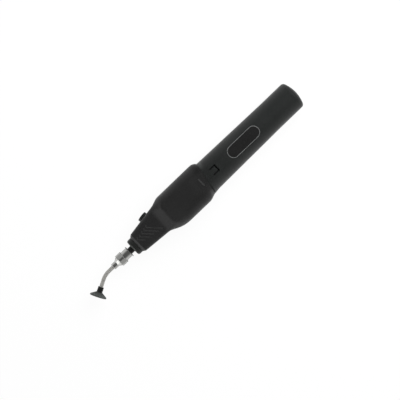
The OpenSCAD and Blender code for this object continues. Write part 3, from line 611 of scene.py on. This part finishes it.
class PEN_OT_fittings(bpy.types.Operator):
    """Softens the collar and finishes the spigot"""

    bl_idname = "pen.fittings"
    bl_label = "Collar and spigot"

    @staticmethod
    def highlighted(looks, face):
        """The painted highlight on a face of the collar: on its front bevel, most of all above and below."""
        if not HIGHLIGHT_LEAN[0] < -face.normal.x < HIGHLIGHT_LEAN[1]:
            return 0.0
        return looks.collar_highlight + looks.collar_top_highlight * ease(abs(face.center.y), *COLLAR_TOP)

    def execute(self, context):
        looks = context.scene.pen_mouldings
        moulding = finish("fitting_moulding", "Moulded grain", looks.fitting_tone, scale=3600.0,
                          gloss=(0.3, 0.42), depth=1.2e-5, pale=looks.highlight_gain,
                          Specular_IOR_Level=looks.fitting_shine)
        ring = smoothed("nose_collar", "collar_ring", soft=looks.edge_soft)
        # Painted highlight on the collar's front bevel
        mark_pale(ring, "FACE", [self.highlighted(looks, face) for face in ring.data.polygons])
        stand_for(ring, "pen", "nose_collar", moulding)
        wear(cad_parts["vacuum_spigot"], moulding)
        return {"FINISHED"}


class PEN_OT_nozzle(bpy.types.Operator):
    """Softens the plated hub and finishes the needle and the rubber cup"""

    bl_idname = "pen.nozzle"
    bl_label = "Hub, needle and cup"

    def execute(self, context):
        looks = context.scene.pen_nozzle
        plating = finish("nickel_plating", "Turned lines", looks.hub_tone, scale=6000.0, gloss=(0.2, 0.32),
                         depth=4e-6, vary=0.05, pale=looks.cone_highlight, Metallic=1.0,
                         Specular_Tint=(0.2, 0.2, 0.2, 1.0))
        hub = smoothed("needle_hub", "hub_plated", soft=looks.edge_soft)
        low, high = CONE_LEAN
        # Painted highlight on the hub's cone
        mark_pale(hub, "FACE", [float(low < -face.normal.x < high) for face in hub.data.polygons])
        stand_for(hub, "nozzle", "needle_hub", plating)
        drawn = finish("drawn_steel", "Drawn streaks", looks.needle_tone, scale=5200.0, gloss=(0.5, 0.66),
                       depth=6e-6, vary=0.08, Metallic=0.5, Specular_IOR_Level=0.1,
                       Specular_Tint=(0.15, 0.15, 0.15, 1.0))
        tube = smoothed("needle_tube", "needle_drawn", soft=looks.edge_soft)
        stand_for(tube, "nozzle", "needle_tube", drawn)
        rubber = finish("cup_rubber", "Rubber bloom", looks.cup_tone, scale=2800.0, gloss=(0.5, 0.66),
                        depth=2e-5, vary=0.15, pale=looks.bloom, Specular_IOR_Level=0.2)
        cup = smoothed("suction_cup", "cup_soft", soft=looks.cup_soft)
        axis = Vector((-math.cos(looks.cup_turn), -math.sin(looks.cup_turn), 0))
        along = [axis.dot(corner.co) for corner in cup.data.vertices]
        rim = max(along)
        risen = [(rim - reach) / looks.bell_high for reach in along]
        mark_pale(cup, "POINT", [math.sqrt(max(0.0, 1 - share)) for share in risen])
        stand_for(cup, "cup", "suction_cup", rubber)
        return {"FINISHED"}


# Inner finishes: name, pattern, colour, scale, gloss, depth, the shader's own values and their solids
INNER = (
    ("tray_moulding", "Moulded grain", (0.009, 0.009, 0.01), 2400.0, (0.4, 0.52), 2e-5, {},
     ("battery_tray",)),
    ("cell_sleeve", "Drawn streaks", (0.26, 0.28, 0.31), 900.0, (0.28, 0.36), 4e-6, {},
     ("battery_cell",)),
    ("plated_contact", "Drawn streaks", (0.72, 0.68, 0.57), 2600.0, (0.25, 0.4), 5e-6, {"Metallic": 1.0},
     ("negative_strip", "positive_contact", "battery_spring")),
    ("zinc_can", "Turned lines", (0.6, 0.61, 0.62), 3000.0, (0.28, 0.42), 5e-6, {"Metallic": 1.0},
     ("motor_can", "motor_shaft")),
    ("natural_moulding", "Moulded grain", (0.7, 0.69, 0.64), 2400.0, (0.4, 0.5), 1.5e-5, {},
     ("motor_end_cap", "drive_wheel", "wobble_plate", "valve_plate")),
    ("pump_moulding", "Moulded grain", (0.045, 0.045, 0.05), 2400.0, (0.4, 0.52), 2e-5, {},
     ("pump_case", "pump_cover")),
    ("diaphragm_rubber", "Rubber bloom", (0.022, 0.022, 0.022), 2400.0, (0.5, 0.62), 2e-5, {},
     ("diaphragm",)),
    ("flap_rubber", "Rubber bloom", (0.22, 0.055, 0.045), 2400.0, (0.5, 0.62), 2e-5, {},
     ("valve_flaps",)),
    ("hose_rubber", "Rubber bloom", (0.68, 0.67, 0.62), 2400.0, (0.35, 0.45), 1e-5, {},
     ("suction_hose",)),
    ("dark_screw", "Turned lines", (0.2, 0.2, 0.21), 5000.0, (0.3, 0.42), 5e-6, {"Metallic": 1.0},
     ("housing_screws",)),
    ("board_lacquer", "Drawn streaks", (0.03, 0.15, 0.07), 1500.0, (0.25, 0.35), 8e-6, {},
     ("circuit_board",)),
    ("switch_moulding", "Moulded grain", (0.05, 0.05, 0.055), 2600.0, (0.38, 0.48), 1.5e-5, {},
     ("switch_body", "switch_plunger")),
)


class PEN_OT_inner(bpy.types.Operator):
    """Finishes the pieces inside the pen and the screws under it"""

    bl_idname = "pen.inner"
    bl_label = "Inner pieces"

    def execute(self, context):
        for name, pattern, colour, scale, gloss, depth, sockets, nodes in INNER:
            made = finish(name, pattern, colour, scale, gloss, depth, **sockets)
            for node in nodes:
                wear(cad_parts[node], made)
        return {"FINISHED"}


# Lights: name, place, width, height, the studio's value for the power, and whether it is a card, which is
# only mirrored, or a lamp, which only lights
LIGHTS = (
    ("soft_lamp", (0.3, 0.05, 0.46), 0.5, 0.5, "lamp", False),
    ("nozzle_card", (-0.58, -0.06, 0.36), 1.5, 0.4, "nozzle_card", True),
    ("tail_card", (0.55, 0.0, 0.45), 0.3, 0.25, "tail_card", True),
)


class PEN_OT_studio(bpy.types.Operator):
    """Sets up the pale floor, the low bright surround, the soft lamp, two cards and the camera"""

    bl_idname = "pen.studio"
    bl_label = "Studio"

    @staticmethod
    def floor(looks):
        """A pale floor that glows a little where it is seen or mirrored."""
        bpy.ops.object.select_all(action="DESELECT")
        bpy.ops.mesh.primitive_plane_add(size=looks.floor_wide)
        floor = bpy.context.object
        floor.name = "floor"
        paper = bpy.data.materials.new("floor_paper")
        paper.use_nodes = True
        tree = Tree(paper.node_tree)
        nodes = paper.node_tree.nodes
        shader = nodes["Principled BSDF"]
        shader.inputs["Base Color"].default_value = [*looks.floor_tone, 1.0]
        shader.inputs["Roughness"].default_value = 0.9
        shader.inputs["Specular IOR Level"].default_value = 0.0
        seen = tree.add("ShaderNodeLightPath").outputs
        direct = tree.most(seen["Is Camera Ray"], seen["Is Glossy Ray"], seen["Is Transmission Ray"])
        glow = tree.add("ShaderNodeEmission", {"Strength": looks.floor_glow})
        mixed = tree.add("ShaderNodeMixShader", {0: tree.math("MULTIPLY", direct, looks.floor_share),
                                                 1: shader.outputs[0], 2: glow.outputs[0]})
        paper.node_tree.links.new(mixed.outputs[0], nodes["Material Output"].inputs["Surface"])
        wear(floor, paper)

    @staticmethod
    def surround(looks):
        """A surround that is bright low down and dark overhead."""
        world = bpy.data.worlds.new("surround")
        world.use_nodes = True
        bpy.context.scene.world = world
        tree = Tree(world.node_tree)
        up = tree.add("ShaderNodeTexCoord").outputs["Generated"]
        rise = tree.add("ShaderNodeSeparateXYZ", {0: up}).outputs[2]
        level = tree.add("ShaderNodeMapRange", {"Value": rise, "From Min": looks.surround_to,
                                                "From Max": looks.overhead_from, "To Min": looks.surround,
                                                "To Max": looks.overhead}, interpolation_type="SMOOTHSTEP")
        sky = world.node_tree.nodes["Background"].inputs
        world.node_tree.links.new(level.outputs[0], sky["Strength"])
        sky["Color"].default_value = (1, 1, 1, 1)

    @staticmethod
    def lights(looks):
        """The soft lamp, which only lights, and the two cards, which are only mirrored."""
        for name, spot, wide, high, watts, mirrored in LIGHTS:
            aim = Vector(spot).to_track_quat("Z", "Y").to_euler()
            bpy.ops.object.light_add(type="AREA", location=spot, rotation=aim)
            lamp = bpy.context.object
            lamp.name = name
            lamp.data.shape = "RECTANGLE"
            lamp.data.size = wide
            lamp.data.size_y = high
            lamp.data.energy = getattr(looks, watts)
            lamp.visible_glossy = mirrored
            lamp.visible_diffuse = not mirrored
            lamp.visible_camera = False

    @staticmethod
    def camera(looks):
        """A camera that looks straight down, turned as the picture is."""
        bpy.ops.object.camera_add(location=(looks.view_x, looks.view_y, AXIS_Z + looks.view_far),
                                  rotation=(0, 0, looks.view_turn))
        camera = bpy.context.object
        camera.data.sensor_width = SENSOR
        camera.data.lens = SENSOR * looks.view_far / looks.view_wide
        camera.data.clip_start = 0.01
        bpy.context.scene.camera = camera

    def execute(self, context):
        looks = context.scene.pen_studio
        self.floor(looks)
        self.surround(looks)
        self.lights(looks)
        self.camera(looks)
        context.scene.view_settings.view_transform = "Standard"
        return {"FINISHED"}


class PEN_PT_sidebar(bpy.types.Panel):
    """Lists the pen's pieces and their values"""

    bl_idname = "PEN_PT_sidebar"
    bl_label = "Vacuum pick-up pen"
    bl_space_type = "VIEW_3D"
    bl_region_type = "UI"
    bl_category = "Pen"

    def draw(self, context):
        for made in OPERATORS:
            self.layout.operator(made.bl_idname)
        for name in GROUPS:
            group = getattr(context.scene, name)
            for label in group.bl_rna.properties.keys():
                if label not in ("rna_type", "name"):
                    self.layout.prop(group, label)


OPERATORS = (PEN_OT_grip, PEN_OT_cover, PEN_OT_plate, PEN_OT_button, PEN_OT_fittings, PEN_OT_nozzle,
             PEN_OT_inner, PEN_OT_studio)
GROUPS = {"pen_mouldings": PenMouldings, "pen_nozzle": PenNozzle, "pen_studio": PenStudio}


def register():
    """Registers the groups of values, the operators and the panel."""
    for made in (*GROUPS.values(), *OPERATORS, PEN_PT_sidebar):
        bpy.utils.register_class(made)
    for name, group in GROUPS.items():
        setattr(bpy.types.Scene, name, PointerProperty(type=group))


def unregister():
    """Takes back what register did."""
    for name in GROUPS:
        delattr(bpy.types.Scene, name)
    for made in reversed((*GROUPS.values(), *OPERATORS, PEN_PT_sidebar)):
        bpy.utils.unregister_class(made)


def main():
    """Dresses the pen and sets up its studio."""
    register()
    for made in OPERATORS:
        getattr(bpy.ops.pen, made.bl_idname.split(".")[1])()


if __name__ == "__main__":
    main()
